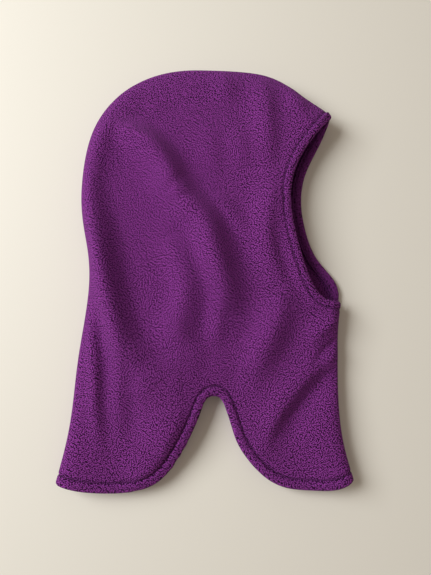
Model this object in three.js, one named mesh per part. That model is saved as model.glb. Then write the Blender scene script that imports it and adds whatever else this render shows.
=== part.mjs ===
// A fleece balaclava lying flat on its left side, in millimetres.
// +X points out of the face opening, +Y to the crown, +Z up off the surface it lies on.
// Two mirrored side panels meet in a seam over the crown and down the nape, and in a short seam
// under the chin. The face opening and the bottom edge are turned in once and topstitched.
import * as THREE from 'three';

// ---- Driving sizes ----
const overallWidth = 242; // nape to chin, along X
const overallLength = 371; // lobes to crown, along Y
const cloth = 2.2; // thickness of the fleece
const gap = 0.3; // air kept between neighbouring pieces
const seamAllowance = 6; // cloth inside each seam, from the fold to the raw edge
const bottomStitchInset = 8.5; // bottom stitch line, from the finished edge
const faceStitchInset = 7; // face opening's stitch line, from the finished edge
const facingBeyondStitch = 1.5; // raw edge of a turned hem, past its stitch line
const foldRadius = 1.6; // middle of the cloth at a fold or a seam turn
const grooveDepth = 0.8; // how far the topstitch sinks into the fleece
const grooveHalfWidth = 1.5;
const rollWidth = 9; // how far in from a seam the cloth takes to lie flat
const rollHeight = 5; // how far the upper panel rises over that width
const seamHeight = 8; // height of the seams above the surface
const foreheadRise = 5; // extra seam height at the forehead, where the opening gapes
const foreheadReach = 45; // how far that rise spreads over the cloth
const faceLift = 7; // extra height of the upper panel along the face opening
const middleSag = 2.5; // how far the upper panel sinks between its edges
const lowerHemSetback = 2; // how far the lower bottom edge lies inside the upper one
const threadThickness = 0.3;
const hemThreadWidth = 0.6;
const hemThreadLift = 0.4; // air between a hem's thread and the bottom of its groove
const seamThreadWidth = 0.6;
const overlockThickness = 0.4;
const overlockWidth = 4.2; // how far the overlock reaches over each allowance
const needleInset = 0.8; // seam needle thread, past the end of the seam's turn
const allowanceStart = 2.5; // gap between a hem's raw edge and the start of an allowance

// ---- How finely the cloth is cut into facets ----
const columns = 22;
const rows = 22;
const relaxSweeps = 400;
const hemRows = 4; // the fold line and the three rows of the stitch groove
const stitchRow = 2; // the groove's deepest row, counted from the fold line
const foldSteps = 3;
const turnSteps = 2;
const rollStations = [0, 0.12, 0.45, 1]; // shares of the roll width
const backSeamSpacing = -0.3; // rows closer together at the hem than at the forehead
const frontSeamSpacing = 0.7; // rows closer together at the chin than at the hem
const curveSamples = 400;
const notchShare = 0.47; // where the shoulder notch lies along the bottom edge
const notchSpread = 0.1;
const notchDensity = 1.6;

// ---- Outlines, drawn on a 242 x 371 pattern: finished edges seen from above ----
const drawnWidth = 242;
const drawnLength = 371;
const backCorner = [-130, 8];
const frontCorner = [112, 11];
const chin = [108, 157];
const forehead = [104, 325];
const bottomEdge = [
  backCorner, [-112, 3], [-90, 0], [-68, 1], [-50, 8], [-33, 26], [-20, 49], [-9, 69],
  [0, 75], [8, 68], [18, 43], [32, 21], [52, 6], [78, 2], [100, 5], frontCorner,
];
const crownBackSeam = [
  backCorner, [-121, 50], [-116, 106], [-110, 155], [-110, 192], [-117, 229], [-118, 272],
  [-108, 317], [-80, 352], [-38, 369], [10, 370], [56, 362], [84, 341], forehead,
];
const frontSeam = [frontCorner, [105, 38], [102, 75], [103, 115], [105, 142], chin];
const upperFaceEdge = [
  forehead, [93, 311], [76, 289], [65, 263], [64, 236], [69, 205], [76, 178], [86, 162], chin,
];
const lowerFaceEdge = [
  forehead, [91, 299], [80, 275], [76, 246], [80, 222], [90, 194], [104, 170], chin,
];

// How deep the middle of the cloth lies inside a seam's edge and inside a turned hem's edge.
const seamDepth = cloth / 2;
const hemDepth = foldRadius + cloth / 2;

/** Scales a drawn point to the garment's overall size. */
function toSize([x, y]) {
  return new THREE.Vector3(x * overallWidth / drawnWidth, y * overallLength / drawnLength, 0);
}

/** Running lengths along a row of points, starting from 0. */
function runningLengths(points) {
  const lengths = [0];
  for (let i = 1; i < points.length; i++) {
    lengths.push(lengths[i - 1] + points[i].distanceTo(points[i - 1]));
  }
  return lengths;
}

/** The point at a given length along a row of points. */
function pointAtLength(points, lengths, target) {
  let i = 1;
  while (i < points.length - 1 && lengths[i] < target) {
    i++;
  }
  const share = (target - lengths[i - 1]) / (lengths[i] - lengths[i - 1]);
  return points[i - 1].clone().lerp(points[i], share);
}

/** Points at chosen lengths along a line of points; stationsFor turns running lengths into them. */
function resample(points, stationsFor) {
  const lengths = runningLengths(points);
  return stationsFor(lengths).map((length) => pointAtLength(points, lengths, length));
}

/** Shares from 0 to 1, closer together around the shoulder notch, for the bottom edge. */
function notchShares(count) {
  const sums = [0];
  for (let i = 0; i < curveSamples; i++) {
    const away = ((i + 0.5) / curveSamples - notchShare) / notchSpread;
    sums.push(sums[i] + 1 + notchDensity * Math.exp(-away * away));
  }
  const total = sums[curveSamples];
  const shares = [];
  for (let i = 0; i <= count; i++) {
    const target = total * i / count;
    const upper = Math.max(1, sums.findIndex((sum) => sum >= target));
    const part = (target - sums[upper - 1]) / (sums[upper] - sums[upper - 1]);
    shares.push((upper - 1 + part) / curveSamples);
  }
  return shares;
}

/** A smooth curve through drawn points, moved sideways by inset and cut short at both ends. */
function insetCurve(drawnPoints, inset, trim, shares) {
  const curve = new THREE.CatmullRomCurve3(drawnPoints.map(toSize), false, 'centripetal');
  const moved = [];
  for (let i = 0; i <= curveSamples; i++) {
    const tangent = curve.getTangentAt(i / curveSamples);
    const sideways = new THREE.Vector3(-tangent.y, tangent.x, 0).multiplyScalar(inset);
    moved.push(curve.getPointAt(i / curveSamples).add(sideways));
  }
  return resample(moved, (lengths) => {
    const span = lengths[curveSamples] - 2 * trim;
    return shares.map((share) => trim + share * span);
  });
}

/** Shares from 0 to 1, even where lean is 0 and closer together towards 1 where it is positive. */
function leaningShares(count, lean) {
  return Array.from({ length: count + 1 }, (_, i) => {
    const share = i / count;
    return share + lean * share * (1 - share);
  });
}

/** Fills the inside of four edge curves by blending opposite curves. */
function blendedGrid(bottom, top, back, front) {
  const grid = [];
  for (let i = 0; i <= columns; i++) {
    const column = [];
    const u = i / columns;
    for (let j = 0; j <= rows; j++) {
      const v = j / rows;
      const point = bottom[i].clone().multiplyScalar(1 - v).addScaledVector(top[i], v);
      point.addScaledVector(back[j], 1 - u).addScaledVector(front[j], u);
      point.addScaledVector(bottom[0], -(1 - u) * (1 - v));
      point.addScaledVector(bottom[columns], -u * (1 - v));
      point.addScaledVector(top[0], -(1 - u) * v);
      point.addScaledVector(top[columns], -u * v);
      column.push(point);
    }
    grid.push(column);
  }
  return grid;
}

/** Spreads the inner points until the grid lines are smooth (Winslow's equations). */
function relaxGrid(grid) {
  for (let sweep = 0; sweep < relaxSweeps; sweep++) {
    for (let i = 1; i < columns; i++) {
      for (let j = 1; j < rows; j++) {
        const east = grid[i + 1][j];
        const west = grid[i - 1][j];
        const north = grid[i][j + 1];
        const south = grid[i][j - 1];
        const alongU = east.clone().sub(west).multiplyScalar(0.5);
        const alongV = north.clone().sub(south).multiplyScalar(0.5);
        const weightU = alongV.lengthSq();
        const weightV = alongU.lengthSq();
        const skew = alongU.dot(alongV);
        const twist = grid[i + 1][j + 1].clone().sub(grid[i + 1][j - 1]);
        twist.sub(grid[i - 1][j + 1]).add(grid[i - 1][j - 1]).multiplyScalar(0.25);
        const sum = east.clone().add(west).multiplyScalar(weightU);
        sum.addScaledVector(north.clone().add(south), weightV).addScaledVector(twist, -2 * skew);
        grid[i][j].copy(sum.multiplyScalar(0.5 / (weightU + weightV)));
      }
    }
  }
}

/** Lengths along a column: the fold and the stitch groove at both hems, and its rows between. */
function rowStations(lengths) {
  const length = lengths[rows];
  const bottomStitch = bottomStitchInset - hemDepth;
  const faceStitch = faceStitchInset - hemDepth;
  const start = bottomStitch + facingBeyondStitch + allowanceStart;
  const end = length - faceStitch - facingBeyondStitch - allowanceStart;
  const bottom = [0, bottomStitch - grooveHalfWidth, bottomStitch, bottomStitch + grooveHalfWidth];
  const inner = lengths.map((run) => start + run / length * (end - start));
  const face = [faceStitch + grooveHalfWidth, faceStitch, faceStitch - grooveHalfWidth, 0];
  return [...bottom, ...inner, ...face.map((inset) => length - inset)];
}

/** Lengths along a row: the rolls at both seams, and its columns between. */
function columnStations(lengths) {
  const length = lengths[columns];
  const roll = rollStations.map((share) => share * rollWidth);
  const inner = lengths.slice(1, -1);
  const flat = inner.map((run) => rollWidth + run / length * (length - 2 * rollWidth));
  return [...roll, ...flat, ...roll.map((station) => length - station).reverse()];
}

/** The seen-from-above places of one panel's cloth: columns from back to front, rows upwards. */
function panelPlan(faceEdge, bottomPoints) {
  const along = notchShares(columns);
  const bottom = insetCurve(bottomPoints, hemDepth, seamDepth, along);
  const face = insetCurve(faceEdge, -hemDepth, seamDepth, leaningShares(columns, 0));
  const backShares = leaningShares(rows, backSeamSpacing);
  const back = insetCurve(crownBackSeam, -seamDepth, hemDepth, backShares);
  const frontShares = leaningShares(rows, frontSeamSpacing);
  const front = insetCurve(frontSeam, seamDepth, hemDepth, frontShares);
  const grid = blendedGrid(bottom, face, back, front);
  relaxGrid(grid);
  const spaced = grid.map((column) => resample(column, rowStations));
  const lines = spaced[0].map((_, j) => spaced.map((column) => column[j]));
  return lines.map((line) => resample(line, columnStations));
}

/** The height of the seams, which rises towards the forehead. */
function seamHeightAt(point) {
  const away = point.distanceTo(toSize(forehead)) / foreheadReach;
  return seamHeight + foreheadRise * Math.exp(-away * away);
}

/** The level direction into the garment, square to a seam, at one row of a panel's plan. */
function seamInwards(plan, column, row) {
  const before = plan[Math.max(row - 1, 0)][column];
  const after = plan[Math.min(row + 1, plan.length - 1)][column];
  const along = after.clone().sub(before).normalize();
  const turn = column === 0 ? 1 : -1;
  return new THREE.Vector3(turn * along.y, -turn * along.x, 0);
}

/** The level direction out of the garment, square to a finished edge, at one column. */
function hemOutwards(plan, column, row) {
  const before = plan[row][column - 1];
  const after = plan[row][column + 1];
  const along = after.clone().sub(before).normalize();
  const turn = row === 0 ? 1 : -1;
  return new THREE.Vector3(turn * along.y, -turn * along.x, 0);
}

/** How far the cloth has rolled out of the seam, from 0 at the seam to 1 where it lies flat. */
function rollShare(station, stationCount) {
  const fromSeam = Math.min(station, stationCount - 1 - station);
  const share = rollStations[Math.min(fromSeam, rollStations.length - 1)];
  return Math.sqrt(1 - (1 - share) * (1 - share));
}

/**
 * The middle surface of one panel on a plus-shaped index grid. side is 1 for the upper panel
 * and -1 for the lower one. The long arms are the seam allowances and the turned hems.
 */
function panelSurface(plan, side) {
  const rowCount = plan.length;
  const columnCount = plan[0].length;
  const seamStep = gap / 2 + cloth / 2 + foldRadius;
  const points = new Map();
  const key = (column, row) => `${column},${row}`;
  const put = (column, row, point) => points.set(key(column, row), point);
  const flatFirst = rollStations.length - 1;
  const flatLast = columnCount - rollStations.length;

  for (let j = 0; j < rowCount; j++) {
    for (let i = 0; i < columnCount; i++) {
      const point = plan[j][i].clone();
      const across = Math.sin(Math.PI * i / (columnCount - 1));
      const up = j / (rowCount - 1);
      const roll = rollShare(i, columnCount);
      const edge = seamHeightAt(point) + side * seamStep;
      const lift = faceLift * across * up ** 3;
      const sag = middleSag * across * Math.sin(Math.PI * up) ** 2;
      const rise = side > 0 ? rollHeight + lift - sag : cloth / 2 - edge;
      point.z = edge + rise * roll;
      put(i, j, point);
    }
    turnIntoAllowance(0, -1, j);
    turnIntoAllowance(columnCount - 1, 1, j);
  }
  for (let i = flatFirst; i <= flatLast; i++) {
    turnHem(i, 0, -1, 1);
    turnHem(i, rowCount - 1, 1, -1);
  }

  /** Carries a row past the seam: a quarter turn, then the allowance lying inwards. */
  function turnIntoAllowance(column, outwards, row) {
    const edge = points.get(key(column, row));
    const inwards = seamInwards(plan, column, row);
    for (let step = 1; step <= turnSteps; step++) {
      const angle = Math.PI / 2 * step / turnSteps;
      const point = edge.clone().addScaledVector(inwards, foldRadius * (1 - Math.cos(angle)));
      point.z -= side * foldRadius * Math.sin(angle);
      put(column + outwards * step, row, point);
    }
    if (row >= hemRows && row < rowCount - hemRows) {
      const raw = points.get(key(column + outwards * turnSteps, row)).clone();
      put(column + outwards * (turnSteps + 1), row, raw.addScaledVector(inwards, seamAllowance));
    }
  }

  /** Carries a column past the finished edge: a half turn, then the facing lying inwards. */
  function turnHem(column, row, outwards, inwardsStep) {
    const edge = points.get(key(column, row));
    const out = hemOutwards(plan, column, row);
    for (let step = 1; step <= foldSteps; step++) {
      const angle = Math.PI * step / foldSteps;
      const point = edge.clone().addScaledVector(out, foldRadius * Math.sin(angle));
      point.z -= side * foldRadius * (1 - Math.cos(angle));
      put(column, row + outwards * step, point);
    }
    for (let step = 1; step < hemRows; step++) {
      const point = points.get(key(column, row + inwardsStep * step)).clone();
      point.z -= side * 2 * foldRadius;
      put(column, row + outwards * (foldSteps + step), point);
    }
  }

  return { points, key, side, rowCount, columnCount, flatFirst, flatLast };
}

/** Lists the cells whose four corners are all on the surface. */
function surfaceCells(surface) {
  const cells = [];
  for (const name of surface.points.keys()) {
    const [i, j] = name.split(',').map(Number);
    const square = [[i, j], [i + 1, j], [i + 1, j + 1], [i, j + 1]];
    const corners = square.map(([a, b]) => surface.key(a, b));
    if (corners.every((corner) => surface.points.has(corner))) {
      cells.push(surface.side > 0 ? corners : corners.reverse());
    }
  }
  return cells;
}

/** Outward unit directions at every point, averaged over the cells around it. */
function outwardDirections(surface, cells) {
  const directions = new Map();
  for (const name of surface.points.keys()) {
    directions.set(name, new THREE.Vector3());
  }
  for (const corners of cells) {
    const [a, b, c, d] = corners.map((corner) => surface.points.get(corner));
    const face = c.clone().sub(a).cross(d.clone().sub(b)).normalize();
    corners.forEach((corner) => directions.get(corner).add(face));
  }
  directions.forEach((direction) => direction.normalize());
  return directions;
}

/** Sinks the two stitch rows into the outer face. */
function sinkStitchRows(surface, directions) {
  for (const row of [stitchRow, surface.rowCount - 1 - stitchRow]) {
    for (let i = 0; i < surface.columnCount; i++) {
      const name = surface.key(i, row);
      surface.points.get(name).addScaledVector(directions.get(name), -grooveDepth);
    }
  }
}

/** A closed geometry from a list of points and of triangles. */
function closedGeometry(points, triangles) {
  const geometry = new THREE.BufferGeometry();
  const numbers = points.flatMap((point) => point.toArray());
  geometry.setAttribute('position', new THREE.Float32BufferAttribute(numbers, 3));
  geometry.setIndex(triangles.flat());
  geometry.computeVertexNormals();
  return geometry;
}

/** The panel as a solid: the middle surface moved half a thickness out and in, and its rim. */
function panelGeometry(surface, cells, directions) {
  const names = [...surface.points.keys()];
  const index = new Map(names.map((name, i) => [name, i]));
  const count = names.length;
  const moved = (name, step) => {
    return surface.points.get(name).clone().addScaledVector(directions.get(name), step);
  };
  const outer = names.map((name) => moved(name, cloth / 2));
  const inner = names.map((name) => moved(name, -cloth / 2));
  const triangles = [];
  const openEdges = new Map();
  for (const corners of cells) {
    const [a, b, c, d] = corners.map((corner) => index.get(corner));
    triangles.push([a, b, c], [a, c, d]);
    triangles.push([count + c, count + b, count + a], [count + d, count + c, count + a]);
    for (const [from, to] of [[a, b], [b, c], [c, d], [d, a]]) {
      if (!openEdges.delete(`${to},${from}`)) {
        openEdges.set(`${from},${to}`, [from, to]);
      }
    }
  }
  for (const [from, to] of openEdges.values()) {
    triangles.push([to, from, count + from], [to, count + from, count + to]);
  }
  return closedGeometry([...outer, ...inner], triangles);
}

/** A solid carried along a path: rings of section points, closed on itself or capped. */
function sweptGeometry(rings, capTriangles) {
  const size = rings[0].length;
  const closed = capTriangles.length === 0;
  const triangles = [];
  for (let i = 0; i < rings.length - (closed ? 0 : 1); i++) {
    const next = (i + 1) % rings.length;
    for (let k = 0; k < size; k++) {
      const after = (k + 1) % size;
      const corners = [i * size + k, i * size + after, next * size + after, next * size + k];
      triangles.push([corners[0], corners[1], corners[2]], [corners[0], corners[2], corners[3]]);
    }
  }
  const last = (rings.length - 1) * size;
  for (const [a, b, c] of capTriangles) {
    triangles.push([c, b, a], [last + a, last + b, last + c]);
  }
  const points = rings.flat();
  const volume = triangles.reduce((sum, [a, b, c]) => {
    return sum + points[a].dot(points[b].clone().cross(points[c]));
  }, 0);
  return closedGeometry(points, volume > 0 ? triangles : triangles.map(([a, b, c]) => [a, c, b]));
}

/** One ring of a hem's thread lying off the cloth: across is along the surface, out is off it. */
function hemThreadRing(base, across, out) {
  const half = hemThreadWidth / 2;
  const top = hemThreadLift + threadThickness;
  const corners = [[-half, hemThreadLift], [half, hemThreadLift], [half, top], [-half, top]];
  return corners.map(([sideways, lift]) => {
    return base.clone().addScaledVector(across, sideways).addScaledVector(out, lift);
  });
}

/** Rings of a hem's thread along one index row of a panel; rowStep leads to the row beside it. */
function hemThreadRings(panel, row, rowStep, [first, last]) {
  const rings = [];
  for (let i = first; i <= last; i++) {
    const name = panel.surface.key(i, row);
    const out = panel.directions.get(name);
    const base = panel.surface.points.get(name).clone().addScaledVector(out, cloth / 2);
    const along = panel.surface.points.get(panel.surface.key(i, row + rowStep)).clone().sub(base);
    const across = along.addScaledVector(out, -along.dot(out)).normalize();
    rings.push(hemThreadRing(base, across, out));
  }
  return rings;
}

/** A thread that runs round a whole hem: over the upper panel and back over the lower one. */
function hemThread(row, rowStep, span) {
  const there = hemThreadRings(upper, row, rowStep, span);
  const back = hemThreadRings(lower, row, rowStep, span).reverse();
  return sweptGeometry([...there, ...back], []);
}

/** Seam frame at each row that has an allowance: the seam's middle point and the way inwards. */
function seamFrames(panel, column) {
  const frames = [];
  for (let j = hemRows; j < panel.surface.rowCount - hemRows; j++) {
    const edge = panel.surface.points.get(panel.surface.key(column, j)).clone();
    const inwards = seamInwards(panel.plan, column, j);
    edge.z -= panel.surface.side * (gap / 2 + cloth / 2 + foldRadius);
    frames.push({ middle: edge, inwards });
  }
  return frames;
}

/** Carries a flat section, given as inward and upward steps from the seam, along the seam. */
function seamSweep(frames, section) {
  const rings = frames.map(({ middle, inwards }) => section.map(([inward, up]) => {
    return middle.clone().addScaledVector(inwards, inward).add(new THREE.Vector3(0, 0, up));
  }));
  const flat = section.map(([inward, up]) => new THREE.Vector2(inward, up));
  return sweptGeometry(rings, THREE.ShapeUtils.triangulateShape(flat, []));
}

/** The overlock thread: a U round the raw edges of both allowances. */
function overlockSection() {
  const rawEdge = foldRadius + seamAllowance + gap;
  const legEnd = rawEdge - gap - overlockWidth;
  const inside = gap / 2 + cloth + gap;
  const outside = inside + overlockThickness;
  const back = rawEdge + overlockThickness;
  return [
    [legEnd, inside], [rawEdge, inside], [rawEdge, -inside], [legEnd, -inside],
    [legEnd, -outside], [back, -outside], [back, outside], [legEnd, outside],
  ];
}

/** The needle thread: a flat line of stitches on the upper allowance, close to the seam. */
function needleSection() {
  const near = foldRadius + needleInset - seamThreadWidth / 2;
  const low = gap / 2 + cloth + gap;
  const far = near + seamThreadWidth;
  return [[near, low], [far, low], [far, low + threadThickness], [near, low + threadThickness]];
}

/** The lower bottom edge: the upper one moved in, without moving its two corners. */
function lowerBottomEdge() {
  return bottomEdge.map(([x, y], i) => {
    const share = Math.sin(Math.PI * i / (bottomEdge.length - 1));
    return [x, y + lowerHemSetback * Math.sqrt(share)];
  });
}

/** One side panel: its middle surface, its outward directions and its solid. */
function makePanel(faceEdge, bottomPoints, side) {
  const plan = panelPlan(faceEdge, bottomPoints);
  const surface = panelSurface(plan, side);
  const cells = surfaceCells(surface);
  const directions = outwardDirections(surface, cells);
  sinkStitchRows(surface, directions);
  return { plan, surface, directions, geometry: panelGeometry(surface, cells, directions) };
}

/** A named mesh in the group. */
function addPiece(name, geometry, material) {
  const mesh = new THREE.Mesh(geometry, material);
  mesh.name = name;
  garment.add(mesh);
}

function fleece() {
  return new THREE.MeshStandardMaterial({ color: '#5f2762', roughness: 0.95, metalness: 0 });
}

function thread() {
  return new THREE.MeshStandardMaterial({ color: '#4f2354', roughness: 0.6, metalness: 0 });
}

const garment = new THREE.Group();
const upper = makePanel(upperFaceEdge, bottomEdge, 1);
const lower = makePanel(lowerFaceEdge, lowerBottomEdge(), -1);
addPiece('right_side_panel', upper.geometry, fleece());
addPiece('left_side_panel', lower.geometry, fleece());

const frontColumn = upper.surface.columnCount - 1;
const backFrames = seamFrames(upper, 0);
const frontFrames = seamFrames(upper, frontColumn);
addPiece('crown_back_seam_overlock', seamSweep(backFrames, overlockSection()), thread());
addPiece('crown_back_seam_needle_thread', seamSweep(backFrames, needleSection()), thread());
addPiece('front_seam_overlock', seamSweep(frontFrames, overlockSection()), thread());
addPiece('front_seam_needle_thread', seamSweep(frontFrames, needleSection()), thread());

const { rowCount, flatFirst, flatLast } = upper.surface;
const bottomFacing = -foldSteps - stitchRow;
const faceFacing = rowCount - 1 + foldSteps + stitchRow;
const wholeRow = [0, frontColumn];
const flatRow = [flatFirst, flatLast];
addPiece('bottom_hem_top_thread', hemThread(stitchRow, -1, wholeRow), thread());
addPiece('bottom_hem_bobbin_thread', hemThread(bottomFacing, 1, flatRow), thread());
addPiece('face_hem_top_thread', hemThread(rowCount - 1 - stitchRow, 1, wholeRow), thread());
addPiece('face_hem_bobbin_thread', hemThread(faceFacing, -1, flatRow), thread());

// The origin is at the middle of the footprint, on the surface that the garment lies on.
const box = new THREE.Box3().setFromObject(garment);
const middle = box.getCenter(new THREE.Vector3());
garment.position.set(-middle.x, -middle.y, -box.min.z);

export default garment;
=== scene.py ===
"""A purple fleece balaclava lying flat on its left side.

Two mirrored side panels are single sheets of fleece: each rolls out of the seams over the crown,
down the nape and under the chin, keeps its seam allowances inside, and has its face opening and
its bottom edge turned in and stitched down. Lengths in this file are in millimetres until the
last step of each piece, which puts it in the frame in metres.
"""

import math

import bpy
import numpy as np
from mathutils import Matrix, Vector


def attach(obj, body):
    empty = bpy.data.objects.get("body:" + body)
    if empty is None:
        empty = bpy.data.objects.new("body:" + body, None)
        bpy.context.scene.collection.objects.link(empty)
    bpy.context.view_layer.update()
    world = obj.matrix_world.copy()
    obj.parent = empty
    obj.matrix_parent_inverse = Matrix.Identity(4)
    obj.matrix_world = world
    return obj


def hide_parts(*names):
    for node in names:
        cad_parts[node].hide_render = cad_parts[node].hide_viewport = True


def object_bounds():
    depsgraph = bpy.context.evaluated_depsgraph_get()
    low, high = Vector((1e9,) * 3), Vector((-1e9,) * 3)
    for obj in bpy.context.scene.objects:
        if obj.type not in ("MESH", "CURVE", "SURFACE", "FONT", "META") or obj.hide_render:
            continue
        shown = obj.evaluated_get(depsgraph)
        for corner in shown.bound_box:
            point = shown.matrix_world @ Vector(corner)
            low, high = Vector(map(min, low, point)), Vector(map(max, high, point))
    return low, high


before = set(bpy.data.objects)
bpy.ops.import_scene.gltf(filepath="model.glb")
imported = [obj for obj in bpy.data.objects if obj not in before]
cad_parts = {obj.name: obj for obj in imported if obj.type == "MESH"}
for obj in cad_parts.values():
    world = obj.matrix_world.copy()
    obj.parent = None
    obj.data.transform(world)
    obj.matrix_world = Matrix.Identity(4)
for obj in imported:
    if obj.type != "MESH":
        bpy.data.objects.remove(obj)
cad_box = [list(corner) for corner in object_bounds()]

# ---- Sizes of the cloth and its sewing ----
METRE = 0.001
CLOTH = 2.2
GAP = 0.3
FOLD_RADIUS = 1.6
SEAM_ALLOWANCE = 6.0
BOTTOM_STITCH = 8.5
FACE_STITCH = 7.0
BEYOND_STITCH = 1.5
SEAM_HEIGHT = 8.0
FOREHEAD_RISE = 5.0
FOREHEAD_REACH = 45.0
ROLL_WIDTH = 9.0
NAPE_ROLL_WIDTH = 11.0
HEAD_ROLL_WIDTH = 17.0
HEAD_START = 110.0
ROLL_HEIGHT = 5.0
FACE_LIFT = 7.0
STITCH_LENGTH = 2.7
STITCH_RADIUS = 0.3
LOOP_PITCH = 2.4
LOOP_RADIUS = 0.24
NAP_HEIGHT = 0.015
NAP_WAVES = 28
NAP_LENGTHS = (3.1, 4.2)
NAP_SLANT = math.radians(-35)
HEM_PLUMPNESS = 0.7
FOLD_PLUMPNESS = 0.2
FACING_PLUMPNESS = 0.3
GROOVE_DEPTH = 1.2
GROOVE_WIDTH = 0.9
HEM_REACH = 14.0
NAPE_SAG_REACH = 45.0
FRONT_SAG_REACH = 35.0
MIDDLE_SAG = 1.2
HEM_SAG = 4.2
FACE_RIM_LIFT = 2.4
OVERLOCK_HALF_WIDTH = 2.1
OVERLOCK_HALF_HEIGHT = 2.6
OVERLOCK_INSET = 1.8
LOOP_STEPS = 14
NEEDLE_INSET = 1.2
THREAD_LIFT = 0.12
FLOOR_DROP = 0.3

# ---- Outlines: finished edges seen from above ----
BACK_CORNER = (-130.5, 6)
FRONT_CORNER = (113, 8.5)
CHIN = (108, 155)
FOREHEAD = (105, 321.5)
BOTTOM_EDGE = [
    BACK_CORNER, (-112, 1.5), (-90, -1), (-67, 0), (-48, 6.5), (-30.5, 25.5), (-17.5, 49),
    (-8, 70), (-1.5, 77.5), (5.5, 70), (15, 43.5), (30, 20), (51, 4.5), (78, 0.5), (101, 3),
    FRONT_CORNER,
]
CROWN_BACK_SEAM = [
    BACK_CORNER, (-121, 50), (-116, 106), (-110, 155), (-110, 192), (-117, 229), (-118, 272),
    (-108, 317), (-80, 351.5), (-38, 368.5), (10, 369), (55, 360.5), (82, 340), (96, 329.5),
    FOREHEAD,
]
FRONT_SEAM = [FRONT_CORNER, (105.5, 38), (102.5, 75), (103.5, 115), (105.5, 142), CHIN]
UPPER_FACE_EDGE = [
    FOREHEAD, (94, 309), (78, 287.5), (67, 261.5), (65.5, 235), (71, 204.5), (78.5, 180), (85, 166),
    (94, 157), CHIN,
]
LOWER_FACE_EDGE = [
    FOREHEAD, (94, 298), (82, 274), (77, 246), (80, 222), (91, 194), (107, 171), CHIN,
]
LOWER_SETBACK = 2.0

# ---- Folds in the upper panel: (height, width of the flank on the nape's side, width of the
# ---- flank on the face's side, points along the fold from the crown down). Every height is
# ---- multiplied by FOLD_SCALE.
FOLD_SCALE = 1.4
FOLDS = [
    (5.5, 13, 12, [(-82, 342), (-97, 316), (-108, 282), (-111, 250), (-105, 220), (-98, 190),
                   (-92, 165), (-86, 145), (-77, 123), (-67, 100), (-60, 84)]),
    (4.5, 12, 12, [(-106, 246), (-101, 218), (-96, 190), (-90, 163), (-83, 140), (-74, 116),
                   (-62, 90)]),
    (9.6, 14, 12, [(-92, 306), (-74, 303), (-57, 291), (-44, 274), (-36, 258), (-28, 240)]),
    (10.6, 13, 14, [(-40, 256), (-24, 240), (-11, 224), (-4, 205), (2, 185), (7, 165), (9, 138)]),
    (5.8, 12, 14, [(-42, 214), (-31, 190), (-25, 168), (-27, 148), (-32, 118)]),
    (5.0, 12, 9, [(48, 262), (45, 238), (43, 212), (47, 190), (55, 164)]),
    (6.0, 13, 13, [(60, 162), (53, 144), (45, 126), (37, 108), (29, 90)]),
    (2.2, 8, 7, [(2, 152), (1, 136), (1, 118)]),
    (3.6, 26, 7, [(-31, 70), (-33, 58), (-38, 46), (-46, 31), (-58, 17), (-72, 6)]),
    (4.4, 34, 42, [(-52, 110), (-42, 84), (-34, 60), (-40, 40), (-50, 28)]),
    (1.8, 14, 12, [(-66, 124), (-56, 104), (-44, 86)]),
    (2.4, 14, 9, [(-48, 148), (-34, 130), (-20, 118), (-2, 112)]),
    (3.0, 6, 5, [(-106, 158), (-103, 126), (-100, 98), (-99, 72), (-94, 36)]),
    (2.4, 7, 7, [(-88, 150), (-83, 126), (-80, 104), (-79, 76), (-77, 38)]),
    (2.8, 15, 7, [(104, 116), (86, 103), (70, 88), (56, 71), (45, 54), (38, 38)]),
    (-3.2, 7, 14, [(110, 104), (92, 92), (77, 76), (64, 60), (53, 46), (46, 30)]),
    (2.0, 9, 11, [(56, 66), (49, 52), (45, 38), (43, 24)]),
    (2.6, 9, 5, [(110, 144), (98, 137), (87, 129), (78, 120)]),
    (-2.4, 4, 7, [(112, 128), (99, 121), (89, 112), (82, 102)]),
    (3.8, 12, 9, [(42, 360), (44, 338), (45, 312), (45, 292), (43, 268)]),
    (2.4, 9, 6, [(66, 356), (72, 340), (78, 322)]),
    (2.2, 6, 8, [(-2, 252), (11, 234), (22, 219), (34, 202)]),
    (1.8, 10, 9, [(4, 368), (9, 354), (10, 334)]),
    (1.4, 12, 9, [(-10, 316), (-4, 292), (-2, 266)]),
    (2.0, 10, 10, [(14, 310), (21, 292), (23, 270)]),
]

# ---- How finely the cloth is divided; each count is a multiple of COARSE ----
COARSE = 3
FLANGE_CELLS = 3
TURN_CELLS = 3
FOLD_CELLS = 6
BOTTOM_CELLS = 9
FACE_CELLS = 6
ROLL_CELLS = 9
INNER_COLUMNS = 198
INNER_ROWS = 300
FACING_START = 6
FLANGE_START = 12
PLAN_CELLS = 24
PLAN_SWEEPS = 1500
PLAN_FINE = 200
LINE_SAMPLES = 600
HEADING_CELLS = 6
BACK_LEAN = -0.3
FRONT_LEAN = 0.7
ROLL_CLOSENESS = 1.6
FOLD_SAMPLES = 64

SEAM_DEPTH = CLOTH / 2
HEM_DEPTH = FOLD_RADIUS + CLOTH / 2
SEAM_STEP = GAP / 2 + CLOTH / 2 + FOLD_RADIUS
BOTTOM_SPAN = BOTTOM_STITCH - HEM_DEPTH + BEYOND_STITCH
FACE_SPAN = FACE_STITCH - HEM_DEPTH + BEYOND_STITCH


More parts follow.
